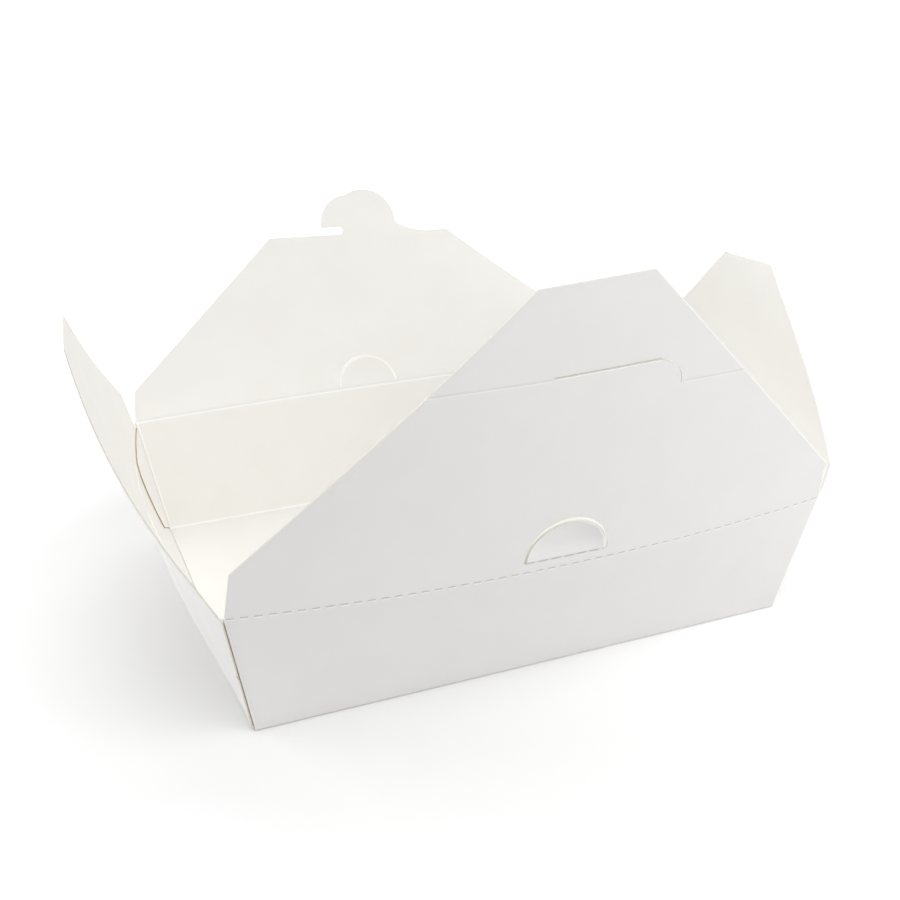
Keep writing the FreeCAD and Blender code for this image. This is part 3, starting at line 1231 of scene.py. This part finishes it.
# The whole box


class Side(Enum):
    """The box's four sides, with their turn round the vertical in degrees."""

    FRONT = 0
    BACK = 180
    RIGHT = 90
    LEFT = 270

    @property
    def word(self) -> str:
        """The side's name as pieces and joints have it."""
        return self.name.lower()

    @property
    def is_long(self) -> bool:
        """Whether the side runs along the box's length."""
        return self in (Side.FRONT, Side.BACK)


@dataclass
class FoodBox:
    """The whole box: tray, glue tabs and four lid flaps."""

    base_long: float = 199.0  # mm, length of the base inside
    base_wide: float = 145.0
    mouth_long: float = 216.0  # mm, length of the mouth
    mouth_wide: float = 159.0
    rise: float = 48.0  # mm, height of the mouth above the table
    stack_step: float = 0.8  # mm, how much lower the end flaps' creases are
    # mm, how far each side's open crease bows out
    bows: dict[Side, float] = field(default_factory=lambda: {
        Side.FRONT: 7.5, Side.BACK: 5.0, Side.RIGHT: 6.0, Side.LEFT: 8.0})
    # mm, how much further out each wall's ends are than the tray's inside: the long
    # walls turn in round the glue tabs, and the end walls cover those
    trims: dict[Side, float] = field(default_factory=lambda: {
        Side.FRONT: -0.7, Side.BACK: -0.7, Side.RIGHT: -0.8, Side.LEFT: -0.1})
    end_swell: float = 3.0  # how soon the bow comes up an end wall
    nick: float = 24.0  # mm, height of the nick at the left wall's front end
    # mm, heights up a glue tab and its width there
    tab_widths: tuple[Pair, ...] = (
        (1.5, 2.0), (12.9, 22.7), (26.6, 27.2), (40.9, 34.0), (45.9, 32.5))

    def wall(self, side: Side) -> Wall:
        """One wall of the tray.

        Args:
            side: Which wall.

        Returns:
            The wall.
        """
        flares = (
            (self.mouth_wide - self.base_wide) / 2 / self.rise,
            (self.mouth_long - self.base_long) / 2 / self.rise)
        halves = (self.base_wide / 2, self.base_long / 2)
        if side.is_long:
            (flare, end_flare), (depth_half, width_half) = flares, halves
        else:
            (end_flare, flare), (width_half, depth_half) = flares, halves
        top = self.rise - (0 if side.is_long else self.stack_step)
        level = Stand((0, 0, 0), side.value, math.degrees(math.atan(flare)))
        crease = level.away * (depth_half + BOARD * flare) + Vector((0, 0, BOARD))
        height = (top - BOARD) * math.hypot(1, flare)
        cut_half = self.mouth_long / 2 - 1
        # painted highlight under each perforation cut along the front wall's top edge
        perforation_highlight = Mark(
            MarkKind.PAINTED_HIGHLIGHT, (-cut_half, height - 0.3), (cut_half, height - 0.3), 0.4, PERFORATION)
        return Wall(
            name=side.word + "_wall", joint=side.word + "_crease",
            stand=replace(level, crease=tuple(crease)),
            foot=width_half + BOARD * end_flare + self.trims[side],
            head=width_half + top * end_flare + self.trims[side],
            height=height, depth=self.bows[side], turned=side.is_long,
            swell=1.0 if side.is_long else self.end_swell,
            nick=self.nick if side is Side.LEFT else 0.0,
            marks=(perforation_highlight,) if side is Side.FRONT else ())

    def flaps(self) -> dict[Side, Flap]:
        """The four lid flaps, each with its own size, lean and bow.

        Returns:
            The flaps by side.
        """
        half_long = self.mouth_long / 2
        half_wide = self.mouth_wide / 2
        low = self.rise - self.stack_step
        bows = self.bows
        front = FrontFlap(
            name="front_flap", joint="front_crease",
            stand=Stand((0, -half_wide, self.rise), Side.FRONT.value, 12.6),
            bow=Bow(bows[Side.FRONT], half_long, 101.5, twist=-2.3, belly=-1.8, lean_in=2.4),
            half=half_long, lug=16.2, reach=101.3, top=38.0, shift=0.5, slant=0.6)
        back = BackFlap(
            name="back_flap", joint="back_crease",
            stand=Stand((0, half_wide, self.rise), Side.BACK.value, 28.5),
            bow=Bow(bows[Side.BACK], half_long, 67.0),
            half=half_long, lug=12.5, reach=67.9, top=81.0, shift=-1.2, slant=1.65)
        right = Flap(
            name="right_flap", joint="right_crease",
            stand=Stand((half_long, 0, low), Side.RIGHT.value, 14.8),
            bow=Bow(bows[Side.RIGHT], half_wide, 69.0, twist=2.1, curl=5.3, lean_in=4.8),
            half=half_wide, lug=12.5, reach=67.6, top=31.5, shift=1.75, slant=-1.4,
            draft=1.3, side_gap=1.2)
        left = Flap(
            name="left_flap", joint="left_crease",
            stand=Stand((-half_long, 0, low), Side.LEFT.value, 22.0),
            bow=Bow(bows[Side.LEFT], half_wide, 74.5, twist=7.0, belly=-0.8),
            half=half_wide, lug=15.5, reach=74.5, top=30.0, draft=1.3, side_gap=1.2)
        return {Side.FRONT: front, Side.BACK: back, Side.RIGHT: right, Side.LEFT: left}

    def build(self) -> None:
        """Builds every piece of the box and logs each."""
        walls = {side: self.wall(side) for side in Side}
        flaps = self.flaps()
        pieces = [Base(self.base_long / 2 + 0.09, self.base_wide / 2 + 0.07), *walls.values()]
        cut_half = self.mouth_long / 2 - 1
        perforation = Mark(
            MarkKind.TICK_AND_SHADE, (-cut_half - 0.2, 0.3), (cut_half, 0.3), 0.35, PERFORATION)
        for side, wall in walls.items():
            lean = (wall.stand.lean + flaps[side].stand.lean) / 2
            cuts = (perforation,) if side is Side.FRONT else ()
            pieces.append(CreaseBend(side.word + "_bend", wall, lean, cuts))
        for end in (Side.RIGHT, Side.LEFT):
            for letter, turn in (("a", 1), ("b", -1)):
                name = "%s_%s_glue_tab" % (end.word, letter)
                pieces.append(GlueTab(name, walls[end], turn, self.tab_widths))
        pieces += flaps.values()
        for piece in pieces:
            log.info("built %s", piece.build().name)


# Studio


@dataclass(frozen=True)
class Softbox:
    """A square soft lamp: degrees round the box and up from the table, and its watts."""

    name: str
    turn: float
    rise: float
    power: float


@dataclass
class Studio:
    """White table, soft light all round, and the camera."""

    eye: Triple = (-164.1, -391.64, 246.1)  # mm, camera's place
    ahead: Triple = (0.3473, 0.83971, -0.41745)
    across: Triple = (0.92463, -0.38085, 0.00318)  # its level direction to the right
    focal: float = 1.3637667  # focal length in frame widths
    sensor: float = 36.0  # mm, width of the camera's frame
    # low softboxes on the right in front and the left behind, two high ones
    lamps: tuple[Softbox, ...] = (
        Softbox("right_softbox", 330.0, 12.0, 1.24),
        Softbox("left_softbox", 150.0, 12.0, 1.6),
        Softbox("back_softbox", 90.0, 60.0, 1.12),
        Softbox("front_softbox", 270.0, 60.0, 1.45),
    )
    lamp_size: float = 0.4  # m, side of a softbox
    lamp_far: float = 0.6  # m, its distance from its aim
    aim: Triple = (0.0, 0.0, 0.04)  # m, the place it is aimed at
    room: float = 0.405  # strength of the room's own light
    table_size: float = 6.0  # m, half the table top's side
    # m, where the painted glow on the table top, seen only by the camera, is faintest: left of the
    # box, so the box's shadow shows darker there
    glow_middle: Triple = (-0.065, 0.01, 0.0)
    glow_from: float = 0.1  # m, distance from there at which it starts to rise
    glow_to: float = 0.7  # m, distance at which it is full
    glow_least: float = 0.03
    glow_most: float = 0.95

    def set_camera(self) -> None:
        """Puts the camera where the photographer's was."""
        data = bpy.data.cameras.new("camera")
        data.sensor_width = self.sensor
        data.lens = self.sensor * self.focal
        data.clip_start = 0.01
        data.clip_end = 50.0
        camera = bpy.data.objects.new("camera", data)
        right = Vector(self.across).normalized()
        back = -Vector(self.ahead).normalized()
        turn = Matrix((right, back.cross(right), back)).transposed().to_4x4()
        camera.matrix_world = Matrix.Translation(Vector(self.eye) * MM) @ turn
        bpy.context.scene.collection.objects.link(camera)
        bpy.context.scene.camera = camera

    def set_lamps(self) -> None:
        """Hangs the softboxes round the box, unseen by the camera."""
        for box in self.lamps:
            data = bpy.data.lights.new(box.name, "AREA")
            data.energy = box.power
            data.size = self.lamp_size
            lamp = bpy.data.objects.new(box.name, data)
            turn, rise = math.radians(box.turn), math.radians(box.rise)
            level = Vector((math.cos(turn), math.sin(turn), 0)) * math.cos(rise)
            toward = level + Vector((0, 0, math.sin(rise)))
            lamp.location = Vector(self.aim) + toward * self.lamp_far
            lamp.rotation_mode = "QUATERNION"
            lamp.rotation_quaternion = (-toward).to_track_quat("-Z", "Y")
            lamp.visible_camera = False
            bpy.context.scene.collection.objects.link(lamp)

    def set_world(self) -> None:
        """Soft white room light, plain white where the camera sees it."""
        world = bpy.data.worlds.new("room")
        bpy.context.scene.world = world
        world.use_nodes = True
        tree = world.node_tree
        tree.nodes.clear()
        rays = add_node(tree, "LightPath")
        seen = rays.outputs["Is Camera Ray"]
        for ray in ("Is Glossy Ray", "Is Transmission Ray"):
            seen = add_node(tree, "Math", {0: seen, 1: rays.outputs[ray]}, operation="MAXIMUM")
        room = add_node(tree, "Background", {0: linear("#fdfdfd"), 1: self.room})
        white = add_node(tree, "Background", {0: (1, 1, 1, 1), 1: 1.0})
        mixed = add_node(tree, "MixShader", {0: seen, 1: room, 2: white})
        add_node(tree, "OutputWorld", {0: mixed})

    def set_floor(self) -> None:
        """White table top that keeps the box's shadow. A painted glow, seen only by the camera, rises
        to white further out; it is faintest left of the box, which paints the shadow darker there than
        round the rest.
        """
        bm = bmesh.new()
        bmesh.ops.create_grid(bm, x_segments=2, y_segments=2, size=self.table_size)
        mesh = bpy.data.meshes.new("table_top")
        bm.to_mesh(mesh)
        bm.free()
        table = bpy.data.objects.new("table_top", mesh)
        bpy.context.scene.collection.objects.link(table)
        material = blank_material("white_paper_sweep")
        tree = material.node_tree
        paper = add_node(tree, "BsdfDiffuse", {0: linear("#f6f6f6")})
        rays = add_node(tree, "LightPath")
        place = add_node(tree, "TexCoord").outputs["Object"]
        far = add_node(tree, "VectorMath", {0: place, 1: self.glow_middle}, operation="DISTANCE")
        share = add_node(
            tree, "MapRange",
            {0: far.outputs["Value"], 1: self.glow_from, 2: self.glow_to, 3: self.glow_least,
             4: self.glow_most})
        strength = add_node(
            tree, "Math", {0: rays.outputs["Is Camera Ray"], 1: share}, operation="MULTIPLY")
        glow = add_node(tree, "Emission", {0: (1, 1, 1, 1), 1: strength})
        both = add_node(tree, "AddShader", {0: paper, 1: glow})
        add_node(tree, "OutputMaterial", {0: both})
        mesh.materials.append(material)

    def build(self) -> None:
        """Sets up the whole studio."""
        self.set_camera()
        self.set_lamps()
        self.set_world()
        self.set_floor()
        bpy.context.scene.view_settings.view_transform = "Standard"


def main() -> None:
    """Loads the frame and builds the box and the studio."""
    logging.basicConfig(level=logging.INFO, format="%(name)s: %(message)s")
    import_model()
    FoodBox().build()
    Studio().build()


if __name__ == "__main__":
    main()
